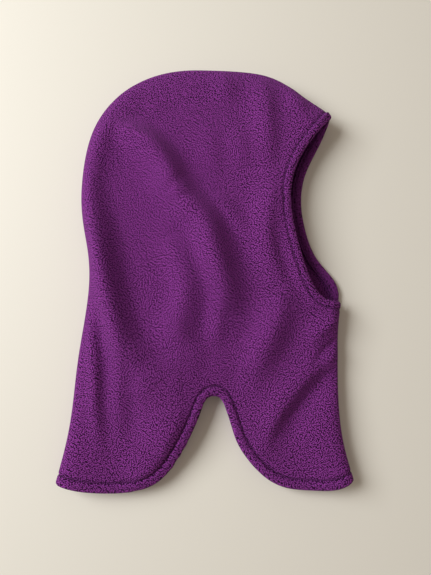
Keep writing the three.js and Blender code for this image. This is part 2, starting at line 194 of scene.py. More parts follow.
# ---- Lines and grids ----
def spline_weights(knots, places):
    """Weights that turn values at the knots into a natural cubic spline's values at the places.

    The second derivatives at the knots solve a three-banded system. Between two knots the value
    is the straight blend plus a cubic term for the second derivative at each end.
    """
    count = len(knots)
    gaps = np.diff(knots)
    inner = np.arange(1, count - 1)
    band = np.eye(count)
    band[inner, inner - 1] = gaps[:-1]
    band[inner, inner] = 2 * (gaps[:-1] + gaps[1:])
    band[inner, inner + 1] = gaps[1:]
    right = np.zeros((count, count))
    right[inner, inner - 1] = 6 / gaps[:-1]
    right[inner, inner] = -6 / gaps[:-1] - 6 / gaps[1:]
    right[inner, inner + 1] = 6 / gaps[1:]
    bends = np.linalg.solve(band, right)
    cell = np.clip(np.searchsorted(knots, places, side="right") - 1, 0, count - 2)
    gap = gaps[cell]
    near = (knots[cell + 1] - places) / gap
    far = 1 - near
    weights = np.zeros((len(places), count))
    row = np.arange(len(places))
    weights[row, cell] += near
    weights[row, cell + 1] += far
    weights += ((near**3 - near) * gap**2 / 6)[:, None] * bends[cell]
    weights += ((far**3 - far) * gap**2 / 6)[:, None] * bends[cell + 1]
    return weights


def unit(vectors):
    """The vectors at length one."""
    return vectors / np.maximum(np.linalg.norm(vectors, axis=-1, keepdims=True), 1e-9)


def running_length(line):
    """Length from the first point to each point of a line."""
    return np.concatenate([[0], np.cumsum(np.linalg.norm(np.diff(line, axis=0), axis=1))])


def at_lengths(line, lengths):
    """Points of a line at running lengths along it, by straight steps between its points."""
    run = running_length(line)
    return np.column_stack([np.interp(lengths, run, line[:, k]) for k in range(line.shape[1])])


def smooth_line(points, count=LINE_SAMPLES):
    """A natural cubic spline over chord length through the points, at even running lengths."""
    points = np.array(points, float)
    knots = running_length(points)
    dense = spline_weights(knots, np.linspace(0, knots[-1], count)) @ points
    return at_lengths(dense, np.linspace(0, running_length(dense)[-1], count))


def inset_line(points, inset, trim, shares):
    """A smooth line moved to its left by inset, cut short by trim, at shares of its length."""
    line = smooth_line(points)
    tangent = np.gradient(line, axis=0)
    tangent /= np.linalg.norm(tangent, axis=1)[:, None]
    moved = line + inset * np.column_stack([-tangent[:, 1], tangent[:, 0]])
    length = running_length(moved)[-1]
    return at_lengths(moved, trim + shares * (length - 2 * trim))


def leaning(count, lean):
    """Shares from 0 to 1: the even share plus lean times share times what is left of it."""
    even = np.linspace(0, 1, count + 1)
    return even + lean * even * (1 - even)


def blended_grid(bottom, top, back, front):
    """Blends opposite edges and takes the blended corners off once (a Coons patch)."""
    u = np.linspace(0, 1, len(bottom))[None, :, None]
    v = np.linspace(0, 1, len(back))[:, None, None]
    grid = (1 - v) * bottom[None] + v * top[None] + (1 - u) * back[:, None] + u * front[:, None]
    grid -= (1 - u) * (1 - v) * bottom[0] + u * (1 - v) * bottom[-1]
    grid -= (1 - u) * v * top[0] + u * v * top[-1]
    return grid


def relax(grid):
    """Moves the inner points until the grid lines are smooth and cross squarely.

    Each point becomes the mean of its neighbours, weighted by the squared spacing of the other
    grid line, less a share of the twist (Winslow's equations).
    """
    for _ in range(PLAN_SWEEPS):
        east, west = grid[1:-1, 2:], grid[1:-1, :-2]
        north, south = grid[2:, 1:-1], grid[:-2, 1:-1]
        step_u = (east - west) / 2
        step_v = (north - south) / 2
        weight_u = (step_v**2).sum(2, keepdims=True)
        weight_v = (step_u**2).sum(2, keepdims=True)
        skew = (step_u * step_v).sum(2, keepdims=True)
        twist = (grid[2:, 2:] - grid[:-2, 2:] - grid[2:, :-2] + grid[:-2, :-2]) / 4
        total = weight_u * (east + west) + weight_v * (north + south) - 2 * skew * twist
        grid[1:-1, 1:-1] = total / (2 * (weight_u + weight_v))
    return grid


def hem_lengths(line, edge, steps):
    """Running lengths at which a line that starts at an edge is at given distances from it."""
    near = line[: len(line) // 4]
    distance = np.linalg.norm(near[:, None] - edge[None], axis=2).min(axis=1)
    return np.interp(steps, np.maximum.accumulate(distance), running_length(near))


def row_stations(line, bottom, face):
    """Running lengths along a column: the bottom hem, the cloth between, and the face hem.

    The rows of a hem keep their distance from its edge, however the column runs.
    """
    run = running_length(line)
    low = hem_lengths(line, bottom, np.linspace(0, BOTTOM_SPAN, BOTTOM_CELLS + 1))
    high = run[-1] - hem_lengths(line[::-1], face, np.linspace(0, FACE_SPAN, FACE_CELLS + 1))[::-1]
    even = np.linspace(0, 1, INNER_ROWS + 1)
    share = np.interp(even, np.linspace(0, 1, len(run)), run / run[-1])
    inner = low[-1] + share * (high[0] - low[-1])
    return np.concatenate([low[:-1], inner, high[1:]])


def column_stations(run):
    """Running lengths along a row: the roll at each seam, close together at its edge."""
    roll = ROLL_WIDTH * np.linspace(0, 1, ROLL_CELLS + 1) ** ROLL_CLOSENESS
    even = np.linspace(0, 1, INNER_COLUMNS + 1)
    share = np.interp(even, np.linspace(0, 1, len(run)), run / run[-1])
    inner = ROLL_WIDTH + share * (run[-1] - 2 * ROLL_WIDTH)
    return np.concatenate([roll[:-1], inner, run[-1] - roll[-2::-1]])


def panel_plan(face_edge, bottom_edge):
    """A panel seen from above: rows from hem to face, columns from back to front.

    Also gives each point's distance along its row from the back and from the front seam.
    """
    even = leaning(PLAN_CELLS, 0)
    bottom = inset_line(bottom_edge, HEM_DEPTH, SEAM_DEPTH, even)
    face = inset_line(face_edge, -HEM_DEPTH, SEAM_DEPTH, even)
    back = inset_line(CROWN_BACK_SEAM, -SEAM_DEPTH, HEM_DEPTH, leaning(PLAN_CELLS, BACK_LEAN))
    front = inset_line(FRONT_SEAM, SEAM_DEPTH, HEM_DEPTH, leaning(PLAN_CELLS, FRONT_LEAN))
    plan = relax(blended_grid(bottom, face, back, front))
    weights = spline_weights(np.linspace(0, 1, PLAN_CELLS + 1), np.linspace(0, 1, PLAN_FINE + 1))
    fine = np.einsum("ia,jb,abk->ijk", weights, weights, plan)
    columns = []
    for line in fine.swapaxes(0, 1):
        columns.append(at_lengths(line, row_stations(line, fine[0], fine[-1])))
    rows = []
    from_back = []
    from_front = []
    for line in np.array(columns).swapaxes(0, 1):
        run = running_length(line)
        stations = column_stations(run)
        rows.append(at_lengths(line, stations))
        from_back.append(stations)
        from_front.append(run[-1] - stations)
    return np.array(rows), np.array(from_back), np.array(from_front)


# ---- Height of the cloth ----
def smooth_step(x):
    """0 below 0, 1 above 1, and an S curve between: three squares less two cubes."""
    x = np.clip(x, 0, 1)
    return x * x * (3 - 2 * x)


def fold_heights(plan):
    """Sum of the folds: each is a bell over the distance to its line, fading at its two ends.

    The bell has one width on each side of the line.
    """
    flat = plan.reshape(-1, 2)
    total = np.zeros(len(flat))
    for height, nape_width, face_width, points in FOLDS:
        line = smooth_line(points, FOLD_SAMPLES)
        tangent = unit(np.gradient(line, axis=0))
        away = flat[:, None] - line[None]
        distance = np.linalg.norm(away, axis=2)
        nearest = distance.argmin(axis=1)
        every = np.arange(len(flat))
        off = away[every, nearest]
        heading = tangent[nearest]
        sideways = heading[:, 0] * off[:, 1] - heading[:, 1] * off[:, 0]
        width = nape_width + (face_width - nape_width) * smooth_step(sideways / 6 + 0.5)
        share = nearest / (len(line) - 1)
        fade = np.sin(np.pi * np.clip(share, 0.03, 0.97)) ** 0.6
        total += height * fade * np.exp(-((distance[every, nearest] / width) ** 2))
    return FOLD_SCALE * total.reshape(plan.shape[:2])


def seam_height(plan):
    """Height of the seams: level, with a bell-shaped rise towards the forehead."""
    away = np.linalg.norm(plan - np.array(FOREHEAD, float), axis=2) / FOREHEAD_REACH
    return SEAM_HEIGHT + FOREHEAD_RISE * np.exp(-(away**2))


def panel_heights(plan, from_back, from_front, side):
    """Height of the middle of the cloth over its plan.

    At a seam the cloth stands upright and rolls over along a quarter of an ellipse. The upper
    panel then sinks behind its rolled rim and towards the bottom hem, rises to the face opening
    and carries the folds. The lower one lies flat.
    """
    rows, columns = from_back.shape
    up = np.linspace(0, 1, rows)[:, None]
    head = smooth_step((plan[..., 1] - HEAD_START) / 60) if side > 0 else 0
    back_width = NAPE_ROLL_WIDTH + (HEAD_ROLL_WIDTH - NAPE_ROLL_WIDTH) * head
    edge = np.minimum(from_back / back_width, from_front / ROLL_WIDTH)
    roll = np.sqrt(1 - (1 - np.clip(edge, 0, 1)) ** 2)
    start = seam_height(plan) + side * SEAM_STEP
    if side < 0:
        return start + (CLOTH / 2 - start) * roll
    across = np.maximum(np.sin(np.pi * from_back / (from_back + from_front)), 0)
    lift = FACE_LIFT * across * up**3
    lift = lift + FACE_RIM_LIFT * across**0.3 * smooth_step((up - 0.9) / 0.1)
    inland = smooth_step((from_back - 10) / NAPE_SAG_REACH)
    inland = inland * smooth_step((from_front - 6) / FRONT_SAG_REACH)
    sag = inland * (MIDDLE_SAG * (1 - up**3) + HEM_SAG * smooth_step(1 - up / 0.3))
    return start + (ROLL_HEIGHT + lift - sag + fold_heights(plan)) * roll


# ---- One panel as a closed sheet ----
COLUMN_CELLS = 2 * (FLANGE_CELLS + TURN_CELLS + ROLL_CELLS) + INNER_COLUMNS
ROW_CELLS = BOTTOM_CELLS + FOLD_CELLS + BOTTOM_CELLS + INNER_ROWS + 2 * FACE_CELLS + FOLD_CELLS
LEFT = FLANGE_CELLS + TURN_CELLS
RIGHT = COLUMN_CELLS - LEFT
LOW = BOTTOM_CELLS + FOLD_CELLS
HIGH = ROW_CELLS - FACE_CELLS - FOLD_CELLS


def cell_mask():
    """Which cells of the index grid hold cloth: the panel, its turned hems and its allowances."""
    mask = np.zeros((ROW_CELLS, COLUMN_CELLS), bool)
    mask[LOW:HIGH, FLANGE_CELLS : COLUMN_CELLS - FLANGE_CELLS] = True
    mask[LOW + FLANGE_START : HIGH - FLANGE_START, :] = True
    mask[BOTTOM_CELLS : ROW_CELLS - FACE_CELLS, LEFT:RIGHT] = True
    mask[:, LEFT + FACING_START : RIGHT - FACING_START] = True
    return mask


def grid_normals(points):
    """Unit normals of a grid of points: across its rows times up its columns."""
    return unit(np.cross(np.gradient(points, axis=1), np.gradient(points, axis=0)))


def turn_hem(middle, main, normals, rows, step, outer_row):
    """Adds a turned hem beyond an edge row of the panel.

    The fold is half a circle about a line one fold radius behind the cloth. The facing then
    repeats the panel's own rows, two fold radii behind them.
    """
    edge = main[outer_row]
    normal = normals[outer_row]
    inner_row = outer_row - step
    outwards = edge - main[inner_row]
    outwards = unit(outwards - (outwards * normal).sum(1, keepdims=True) * normal)
    first = LOW if step < 0 else HIGH
    for k in range(1, FOLD_CELLS + 1):
        angle = math.pi * k / FOLD_CELLS
        point = edge - normal * FOLD_RADIUS * (1 - math.cos(angle))
        point = point + outwards * FOLD_RADIUS * math.sin(angle)
        middle[first + step * k, LEFT : RIGHT + 1] = point
    for k in range(1, rows + 1):
        source = outer_row - step * k
        point = main[source] - 2 * FOLD_RADIUS * normals[source]
        middle[first + step * (FOLD_CELLS + k), LEFT : RIGHT + 1] = point


def turn_allowance(middle, main, side, step):
    """Adds a seam allowance beyond an edge column: a quarter turn, then flat cloth inwards."""
    column = 0 if step < 0 else -1
    edge = main[:, column]
    along = unit(np.gradient(edge[:, :2], axis=0))
    inwards = np.column_stack([along[:, 1], -along[:, 0], np.zeros(len(edge))]) * -step
    upright = np.array([0, 0, side])
    first = LEFT if step < 0 else RIGHT
    for k in range(1, TURN_CELLS + 1):
        angle = math.pi / 2 * k / TURN_CELLS
        point = edge + inwards * FOLD_RADIUS * (1 - math.cos(angle))
        point = point - upright * FOLD_RADIUS * math.sin(angle)
        middle[LOW : HIGH + 1, first + step * k] = point
    for k in range(1, FLANGE_CELLS + 1):
        reach = SEAM_ALLOWANCE * k / FLANGE_CELLS
        middle[LOW : HIGH + 1, first + step * (TURN_CELLS + k)] = point + inwards * reach


def vertex_normals(middle, mask):
    """Outward normals of the index grid, averaged over the cells that hold cloth."""
    across = middle[1:, 1:] - middle[:-1, :-1]
    other = middle[1:, :-1] - middle[:-1, 1:]
    face = unit(np.cross(across, other)) * mask[..., None]
    total = np.zeros(middle.shape)
    total[:-1, :-1] += face
    total[1:, :-1] += face
    total[:-1, 1:] += face
    total[1:, 1:] += face
    return unit(total)


def nap_height(points):
    """Pebbles of the fleece, about -1 to 1: a sum of plane cosine waves with random phases.

    The wavelengths are all near one pebble, and most waves run across the slant of the pile.
    """
    chance = np.random.default_rng(7)
    turn = NAP_SLANT + chance.normal(0, 0.75, NAP_WAVES)
    length = chance.uniform(*NAP_LENGTHS, NAP_WAVES)
    phase = chance.uniform(0, 2 * np.pi, NAP_WAVES)
    total = np.zeros(points.shape[:2])
    for k in range(NAP_WAVES):
        across = points[..., 0] * math.cos(turn[k]) + points[..., 1] * math.sin(turn[k])
        total += np.cos(2 * np.pi * (across + 0.6 * points[..., 2]) / length[k] + phase[k])
    return total / math.sqrt(NAP_WAVES)


def closeness(place, corner, reach):
    """1 at a corner of the outlines, falling to 0 along a bell curve of the given reach."""
    away = np.linalg.norm(place - corner, axis=2) / reach
    return np.exp(-(away**2))


def stitch_relief(middle):
    """Height of the outer face about the stitch lines: a groove, and a plump hem beside it.

    The hem is plumper near the forehead, over the seam allowances in it, and flatter at the
    chin, at the two corners of the bottom edge and where it meets a seam. The groove is
    shallower at the four ends. Also gives the painted shade along the grooves, which darkens
    the colour there, more on the outer bottom hem.
    """
    rows = np.arange(len(middle))
    columns = np.arange(middle.shape[1])
    place = middle[..., :2]
    plumper = 1 + 1.5 * closeness(place, FOREHEAD, 14) - 0.7 * closeness(place, CHIN, 10)
    plumper -= closeness(place, BACK_CORNER, 12) + closeness(place, FRONT_CORNER, 12)
    plumper *= smooth_step(np.minimum(columns - LEFT, RIGHT - columns) / 4)
    ends = [closeness(place, corner, 9) for corner in (FOREHEAD, CHIN, BACK_CORNER, FRONT_CORNER)]
    shallower = 1 - 0.8 * np.max(ends, axis=0)
    relief = np.zeros(middle.shape[:2])
    painted_groove_shade = np.zeros(len(middle))
    bottom_step, bottom_inset = BOTTOM_SPAN / BOTTOM_CELLS, BOTTOM_STITCH - HEM_DEPTH
    face_step, face_inset = FACE_SPAN / FACE_CELLS, FACE_STITCH - HEM_DEPTH
    for edge, step, inset, fullness, depth in (
        (LOW, bottom_step, bottom_inset, 1, 1.3),
        (HIGH, -face_step, face_inset, 1, 1),
        (BOTTOM_CELLS, -bottom_step, bottom_inset, FACING_PLUMPNESS, 1),
        (ROW_CELLS - FACE_CELLS, face_step, face_inset, FACING_PLUMPNESS, 1),
    ):
        distance = (rows - edge) * step
        near = (distance > -0.01) & (distance < HEM_REACH)
        bell = np.exp(-(((distance - inset) / GROOVE_WIDTH) ** 2))
        groove = np.where(near, GROOVE_DEPTH * bell, 0)
        share = np.clip(0.6 + 5.4 * distance / inset, 0.6, 6) / 6
        plump = np.where(near, HEM_PLUMPNESS * np.sin(np.pi * share), 0) * fullness
        relief += plump[:, None] * plumper - groove[:, None] * shallower
        # painted shade: the colour darkens along each stitch groove, more on the outer bottom hem
        painted_groove_shade += depth * groove
    for first, last in ((BOTTOM_CELLS, LOW), (HIGH, ROW_CELLS - FACE_CELLS)):
        fold = (rows > first) & (rows < last)
        relief += np.where(fold, FOLD_PLUMPNESS, 0)[:, None] * plumper
    return relief, painted_groove_shade[:, None]


def pile_depth():
    """How thick the pile is, by row of the index grid: full outside, worn flat on the facings; thin
    pile is drawn darker as painted shade.
    """
    rows = np.arange(ROW_CELLS + 1)
    facing = np.maximum(LOW - 2 - rows, rows - HIGH - 2) / 4
    return (1 - 0.75 * smooth_step(facing))[:, None]


def rim_edges(mask):
    """Directed edges of the coarse grid that have cloth on their left and none on their right."""
    padded = np.pad(mask, 1)
    here = padded[1:-1, 1:-1]
    edges = []
    for around, start, end in (
        (padded[:-2, 1:-1], (0, 0), (0, 1)),
        (padded[1:-1, 2:], (0, 1), (1, 1)),
        (padded[2:, 1:-1], (1, 1), (1, 0)),
        (padded[1:-1, :-2], (1, 0), (0, 0)),
    ):
        cells = np.argwhere(here & ~around)
        edges.append(np.stack([cells + start, cells + end], axis=1))
    return np.concatenate(edges)


def add_object(name, mesh):
    """A new object in the scene that shows a mesh."""
    piece = bpy.data.objects.new(name, mesh)
    bpy.context.scene.collection.objects.link(piece)
    return piece


def build_mesh(name, points, face_groups):
    """A mesh in metres from points in millimetres and arrays of equal-sided faces."""
    mesh = bpy.data.meshes.new(name)
    sizes = np.concatenate([np.full(len(group), group.shape[1]) for group in face_groups])
    corners = np.concatenate([group.ravel() for group in face_groups]).astype(np.int32)
    mesh.vertices.add(len(points))
    mesh.vertices.foreach_set("co", (points * METRE).astype(np.float32).ravel())
    mesh.loops.add(len(corners))
    mesh.loops.foreach_set("vertex_index", corners)
    mesh.polygons.add(len(sizes))
    starts = np.concatenate([[0], np.cumsum(sizes)[:-1]]).astype(np.int32)
    mesh.polygons.foreach_set("loop_start", starts)
    mesh.polygons.foreach_set("use_smooth", np.ones(len(sizes), bool))
    mesh.update(calc_edges=True)
    mesh.validate()
    return mesh


def laid_flat(middle):
    """The cloth laid flat: the place seen from above, pushed outwards by the slopes.

    Along each row, and then each column, the push is how much longer the cloth is than its plan,
    measured from the middle; past the panel's edges it is the whole length of the cloth. Its
    direction is the one of the grid line some cells about.
    """
    rows, columns = middle.shape[:2]
    inside = np.ix_(np.clip(np.arange(rows), LOW, HIGH), np.clip(np.arange(columns), LEFT, RIGHT))
    place = middle[inside][..., :2]
    flat = place.copy()
    for axis, low, high in ((1, LEFT, RIGHT), (0, LOW, HIGH)):
        steps = np.moveaxis(np.diff(middle, axis=axis), axis, 0)
        longer = np.linalg.norm(steps, axis=2)
        longer[low:high] -= np.linalg.norm(steps[low:high, :, :2], axis=2)
        longer = np.concatenate([0 * longer[:1], np.cumsum(longer, axis=0)])
        longer -= longer[(low + high) // 2]
        index = np.arange(len(longer))
        lines = np.moveaxis(place, axis, 0)
        before = lines[np.clip(index - HEADING_CELLS, low, high - HEADING_CELLS)]
        after = lines[np.clip(index + HEADING_CELLS, low + HEADING_CELLS, high)]
        flat += np.moveaxis(unit(after - before) * longer[..., None], 0, axis)
    return np.concatenate([flat, 0 * flat[..., :1]], axis=2)


def panel_mesh(name, middle, smooth, painted_groove_shade, normals, mask, side):
    """The sheet as a closed mesh: a fine outer face, a coarse inner face and the rim between.

    Its weave attribute is the place on the cloth laid flat.
    """
    pile = pile_depth() * np.ones(middle.shape[:2])
    nap = nap_height(middle) * pile
    outer = smooth + normals * NAP_HEIGHT * nap[..., None]
    outer[..., 2] = np.maximum(outer[..., 2], 0)
    inner = (middle - normals * CLOTH / 2)[::COARSE, ::COARSE]
    fine_index = np.arange(outer[..., 0].size).reshape(outer.shape[:2])
    coarse_index = np.arange(inner[..., 0].size).reshape(inner.shape[:2]) + fine_index.size
    cells = np.argwhere(mask)
    quads = [fine_index[tuple((cells + corner).T)] for corner in ((0, 0), (0, 1), (1, 1), (1, 0))]
    coarse_mask = mask[::COARSE, ::COARSE]
    cells = np.argwhere(coarse_mask)
    backs = [coarse_index[tuple((cells + corner).T)] for corner in ((1, 0), (1, 1), (0, 1), (0, 0))]
    edges = rim_edges(coarse_mask)
    start, end = edges[:, 0], edges[:, 1]
    between = [start * COARSE + (end - start) * k for k in range(COARSE, -1, -1)]
    rim = [fine_index[tuple(place.T)] for place in between]
    rim += [coarse_index[tuple(start.T)], coarse_index[tuple(end.T)]]
    groups = [np.column_stack(quads), np.column_stack(backs), np.column_stack(rim)]
    if side < 0:
        groups = [group[:, ::-1] for group in groups]
    points = np.concatenate([outer.reshape(-1, 3), inner.reshape(-1, 3)])
    weave = laid_flat(middle) * METRE
    values = {
        # the inner face has thin pile, so it is drawn darker: painted shade of the hood's inside
        "pile": np.concatenate([pile.ravel(), np.full(inner[..., 0].size, 0.3)]),
        # the nap attribute also carries the painted shade of the stitch grooves, which darkens the
        # colour
        "nap": np.concatenate([(nap - 4 * painted_groove_shade).ravel(), nap[::COARSE, ::COARSE].ravel()]),
    }
    used = np.zeros(len(points), bool)
    for group in groups:
        used[group.ravel()] = True
    renumber = np.cumsum(used) - 1
    mesh = build_mesh(name, to_frame(points[used]), [renumber[group] for group in groups])
    for key, value in values.items():
        attribute = mesh.attributes.new(key, "FLOAT", "POINT")
        attribute.data.foreach_set("value", value[used].astype(np.float32))
    spread = np.concatenate([weave.reshape(-1, 3), weave[::COARSE, ::COARSE].reshape(-1, 3)])
    attribute = mesh.attributes.new("weave", "FLOAT_VECTOR", "POINT")
    attribute.data.foreach_set("vector", spread[used].astype(np.float32).ravel())
    return mesh


def to_frame(points):
    """Moves points from the outlines' own origin to the frame, still in millimetres."""
    return points + FRAME_SHIFT


def frame_shift():
    """From the outlines to the frame: their middle goes to the middle of the CAD's footprint."""
    ends = np.array(BOTTOM_EDGE + CROWN_BACK_SEAM + FRONT_SEAM, float)
    middle = (ends.min(axis=0) + ends.max(axis=0)) / 2
    corners = np.array(cad_box) / METRE
    centre = (corners[0] + corners[1]) / 2
    return np.array([centre[0] - middle[0], centre[1] - middle[1], corners[0][2]])


FRAME_SHIFT = frame_shift()


def lower_bottom_edge():
    """The lower panel's bottom edge: the upper one's moved in, save at its two corners."""
    last = len(BOTTOM_EDGE) - 1
    share = np.sqrt(np.sin(np.pi * np.arange(1, last) / last))
    share = [0, *share, 0]
    return [(x, y + LOWER_SETBACK * s) for (x, y), s in zip(BOTTOM_EDGE, share)]


def build_panel(name, face_edge, bottom_edge, side):
    """One side panel and what its threads need: its outer face, its middle and its normals."""
    plan, from_back, from_front = panel_plan(face_edge, bottom_edge)
    heights = panel_heights(plan, from_back, from_front, side)
    main = np.concatenate([plan, heights[..., None]], axis=2)
    normals = side * grid_normals(main)
    middle = np.zeros((ROW_CELLS + 1, COLUMN_CELLS + 1, 3))
    middle[LOW : HIGH + 1, LEFT : RIGHT + 1] = main
    turn_allowance(middle, main, side, -1)
    turn_allowance(middle, main, side, 1)
    turn_hem(middle, main, normals, BOTTOM_CELLS, -1, 0)
    turn_hem(middle, main, normals, FACE_CELLS, 1, len(main) - 1)
    mask = cell_mask()
    outward = side * vertex_normals(middle, mask)
    relief, painted_groove_shade = stitch_relief(middle)
    smooth = middle + outward * (CLOTH / 2 + relief)[..., None]
    piece = add_object(name, panel_mesh(name, middle, smooth, painted_groove_shade, outward, mask, side))
    return {"piece": piece, "middle": middle, "face": smooth, "normals": outward, "side": side}


# ---- Threads ----
def row_at(grid, row):
    """A row of a grid at a fractional index."""
    low = int(row)
    return grid[low] * (1 - (row - low)) + grid[low + 1] * (row - low)


def stitch_row(line, normals):
    """Middles, directions and normals of the stitches along a line, at an even spacing."""
    run = running_length(line)
    count = int(run[-1] / STITCH_LENGTH) - 1
    places = (np.arange(count) + 1) * run[-1] / (count + 1)
    middle = at_lengths(line, places)
    ahead = at_lengths(line, places + STITCH_LENGTH / 2)
    behind = at_lengths(line, places - STITCH_LENGTH / 2)
    upward = np.column_stack([np.interp(places, run, normals[:, k]) for k in range(3)])
    along = unit(ahead - behind)
    upward = unit(upward - (upward * along).sum(1, keepdims=True) * along)
    return middle, along, upward


def stitches(rows):
    """Points and faces of stitches: rods that swell in the middle and dip into the cloth.

    A rod's middle line at share t of its length is the straight line less a parabola in t, and
    its radius is the square root of sin(pi t).
    """
    middle, along, upward = (np.concatenate(part) for part in zip(*rows))
    across = np.cross(along, upward)
    share = np.array([0, 0.12, 0.38, 0.62, 0.88, 1])
    radius = STITCH_RADIUS * np.sqrt(np.sin(np.pi * share))
    reach = 0.84 * STITCH_LENGTH * (share - 0.5)
    dip = 0.45 * (2 * share - 1) ** 2
    turn = np.linspace(0, 2 * np.pi, 6, endpoint=False)
    centre = middle[:, None] + along[:, None] * reach[:, None] - upward[:, None] * dip[:, None]
    ring = across[:, None] * np.cos(turn)[:, None] + upward[:, None] * np.sin(turn)[:, None]
    body = centre[:, 1:-1, None] + ring[:, None] * radius[1:-1, None, None]
    body = body.reshape(len(middle), -1, 3)
    points = np.concatenate([centre[:, :1], body, centre[:, -1:]], axis=1)
    first = 1 + np.arange(6)
    after = 1 + (np.arange(6) + 1) % 6
    band = np.column_stack([first, after, after + 6, first + 6])
    quads = np.concatenate([band + 6 * k for k in range(3)])
    near = np.column_stack([np.zeros(6, int), after, first])
    far = np.column_stack([np.full(6, 25), first + 18, after + 18])
    start = 26 * np.arange(len(middle))[:, None, None]
    groups = [(start + group[:, ::-1]).reshape(-1, group.shape[1]) for group in (quads, near, far)]
    return points.reshape(-1, 3), groups


def tube(path, sideways, radius, sides=6):
    """Points and faces of a round tube along a path, closed by a pole at each end."""
    along = unit(np.gradient(path, axis=0))
    first = unit(sideways - (sideways * along).sum(1, keepdims=True) * along)
    second = np.cross(along, first)
    turn = np.linspace(0, 2 * np.pi, sides, endpoint=False)
    ring = first[:, None] * np.cos(turn)[:, None] + second[:, None] * np.sin(turn)[:, None]
    body = (path[:, None] + radius * ring).reshape(-1, 3)
    count = len(path)
    ends = np.array([path[0] - along[0] * radius, path[-1] + along[-1] * radius])
    points = np.concatenate([body, ends])
    start = sides * np.arange(count - 1)[:, None]
    here = np.arange(sides)
    following = (here + 1) % sides
    ring_quads = [start + here, start + following, start + following + sides, start + here + sides]
    quads = np.stack(ring_quads, axis=-1).reshape(-1, 4)
    last = sides * (count - 1)
    near = np.column_stack([np.full(sides, count * sides), following, here])
    far = np.column_stack([np.full(sides, count * sides + 1), last + here, last + following])
    return points, [quads, near, far]


def join_parts(parts):
    """Several lists of points and faces as one."""
    points = []
    groups = []
    offset = 0
    for part_points, part_groups in parts:
        points.append(part_points)
        groups += [group + offset for group in part_groups]
        offset += len(part_points)
    return np.concatenate(points), groups


def thread_piece(name, parts):
    """An object made of stitches and tubes."""
    points, groups = join_parts(parts)
    return add_object(name, build_mesh(name, to_frame(points), groups))


def hem_rows(panel, edge, step, cells, span, inset, on_facing):
    """The stitch line of a hem on the panel's face, or on the facing's own face behind it."""
    rows = cells * inset / span
    if on_facing:
        index = edge - step * (FOLD_CELLS + rows)
        columns = slice(LEFT + FACING_START, RIGHT - FACING_START + 1)
    else:
        index = edge + step * rows
        columns = slice(LEFT, RIGHT + 1)
    line = row_at(panel["face"], index)[columns]
    normals = unit(row_at(panel["normals"], index)[columns])
    return stitch_row(line + THREAD_LIFT * normals, normals)


def hem_threads(panels):
    """The four hem threads: one above and one below each stitch line, on both panels."""
    for name, edge, step, cells, span in (
        ("bottom_hem", LOW, 1, BOTTOM_CELLS, BOTTOM_SPAN),
        ("face_hem", HIGH, -1, FACE_CELLS, FACE_SPAN),
    ):
        inset = span - BEYOND_STITCH
        for thread, on_facing in (("top_thread", False), ("bobbin_thread", True)):
            rows = [hem_rows(p, edge, step, cells, span, inset, on_facing) for p in panels]
            yield f"{name}_{thread}", "hem_thread", [stitches(rows)]


def seam_threads(upper):
    """The overlock thread round each pair of seam allowances, and the needle thread beside it."""
    middle = upper["middle"]
    rows = slice(LOW + FLANGE_START + 2, HIGH - FLANGE_START - 1)
    for name, edge, step in (("crown_back_seam", LEFT, -1), ("front_seam", RIGHT, 1)):
        foot = middle[rows, edge + step * TURN_CELLS]
        inwards = unit(middle[rows, edge + step * (TURN_CELLS + FLANGE_CELLS)] - foot)
        seam = foot - [0, 0, GAP / 2 + CLOTH / 2]
        run = running_length(seam)
        turns = int(run[-1] / LOOP_PITCH)
        along = np.linspace(0, run[-1], LOOP_STEPS * turns + 1)
        centre = at_lengths(seam, along)
        towards = unit(np.column_stack([np.interp(along, run, inwards[:, k]) for k in range(3)]))
        angle = 2 * np.pi * turns * along / run[-1]
        wide = OVERLOCK_HALF_WIDTH * np.sign(np.cos(angle)) * np.abs(np.cos(angle)) ** 0.5
        high = OVERLOCK_HALF_HEIGHT * np.sign(np.sin(angle)) * np.abs(np.sin(angle)) ** 0.5
        middle_reach = SEAM_ALLOWANCE - OVERLOCK_INSET
        path = centre + towards * (middle_reach + wide)[:, None]
        path = path + np.array([0, 0, 1]) * high[:, None]
        sideways = path - centre - towards * middle_reach
        yield f"{name}_overlock", "overlock_thread", [tube(path, sideways, LOOP_RADIUS)]
        line = seam + inwards * NEEDLE_INSET + [0, 0, GAP / 2 + CLOTH + 0.15]
        upright = np.tile([0.0, 0.0, 1.0], (len(line), 1))
        yield f"{name}_needle_thread", "seam_thread", [stitches([stitch_row(line, upright)])]


# ---- Materials ----
def new_material(name):
    """An empty node material with its output and its shader joined."""
    material = bpy.data.materials.new(name)
    material.use_nodes = True
    nodes = material.node_tree.nodes
    return material, nodes, material.node_tree.links, nodes["Principled BSDF"]


